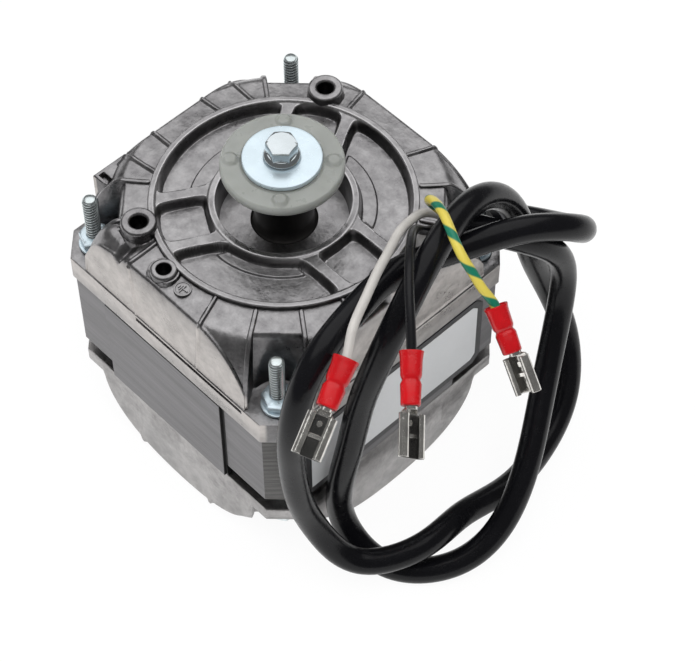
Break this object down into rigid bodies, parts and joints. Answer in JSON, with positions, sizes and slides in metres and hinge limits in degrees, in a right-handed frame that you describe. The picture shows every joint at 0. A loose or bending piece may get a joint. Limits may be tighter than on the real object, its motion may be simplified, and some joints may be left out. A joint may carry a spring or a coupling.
{
  "type": "cooler fan motor",
  "caption": "Square cast fan motor with a laminated core, flat blade hub on its shaft, tie studs and a looped cable ending in red-sleeved push-on terminals",
  "frame": {"origin": "middle of the rear face, on the shaft's axis, where the motor stands", "axes": "+Z runs along the shaft toward the blade hub; +X is the side with the rating plate and the looped cable; +Y completes the right-handed frame"},
  "size_m": [0.1282, 0.1123, 0.1074],
  "materials": {
    "cast_alloy": "as cast, satin",
    "rear_alloy": "as cast, satin",
    "steel_sheet": "stacked bare sheet steel, satin",
    "winding_enamel": "enamelled copper wire",
    "sintered_bronze": "oiled, satin",
    "spring_steel": "satin",
    "stud_steel": "plated thread",
    "bright_zinc": "bright zinc plate",
    "label_foil": "satin film with a black border",
    "gland_rubber": "matt",
    "sheath_black": "semi-gloss",
    "wire_white": "semi-gloss",
    "wire_black": "semi-gloss",
    "wire_earth": "semi-gloss, yellow with a green stripe",
    "sleeve_red": "soft vinyl",
    "tinned_brass": "tinned, bright",
    "ground_steel": "ground",
    "rotor_steel": "turned",
    "fibre_washer": "pressed fibre",
    "milky_nylon": "milky, slightly see-through"
  },
  "bodies": {
    "stator": {"front_bracket": "cast_alloy", "rear_bracket": "rear_alloy", "stator_core": "steel_sheet", "stator_winding": "winding_enamel", "front_bush": "sintered_bronze", "rear_bush": "sintered_bronze", "front_bearing_cap": "spring_steel", "rear_bearing_cap": "spring_steel", "tie_stud_1": "stud_steel", "tie_stud_2": "stud_steel", "tie_stud_3": "stud_steel", "tie_stud_4": "stud_steel", "stud_washer_1": "bright_zinc", "stud_washer_2": "bright_zinc", "stud_washer_3": "bright_zinc", "stud_washer_4": "bright_zinc", "stud_nut_1": "bright_zinc", "stud_nut_2": "bright_zinc", "stud_nut_3": "bright_zinc", "stud_nut_4": "bright_zinc", "rating_label": "label_foil", "cable_gland": "gland_rubber", "cable_sheath": "sheath_black", "wire_white": "wire_white", "wire_black": "wire_black", "wire_earth": "wire_earth", "sleeve_1": "sleeve_red", "sleeve_2": "sleeve_red", "sleeve_3": "sleeve_red", "terminal_1": "tinned_brass", "terminal_2": "tinned_brass", "terminal_3": "tinned_brass"},
    "rotor": {"shaft": "ground_steel", "rotor_core": "rotor_steel", "front_thrust_washer": "fibre_washer", "rear_thrust_washer": "fibre_washer", "blade_hub": "milky_nylon", "hub_washer": "bright_zinc", "hub_bolt": "bright_zinc"}
  },
  "joints": [
    {"name": "shaft_spin", "type": "hinge", "parent": "stator", "child": "rotor", "pos_m": [0, 0, 0.08], "axis": [0, 0, 1], "continuous": true}
  ]
}
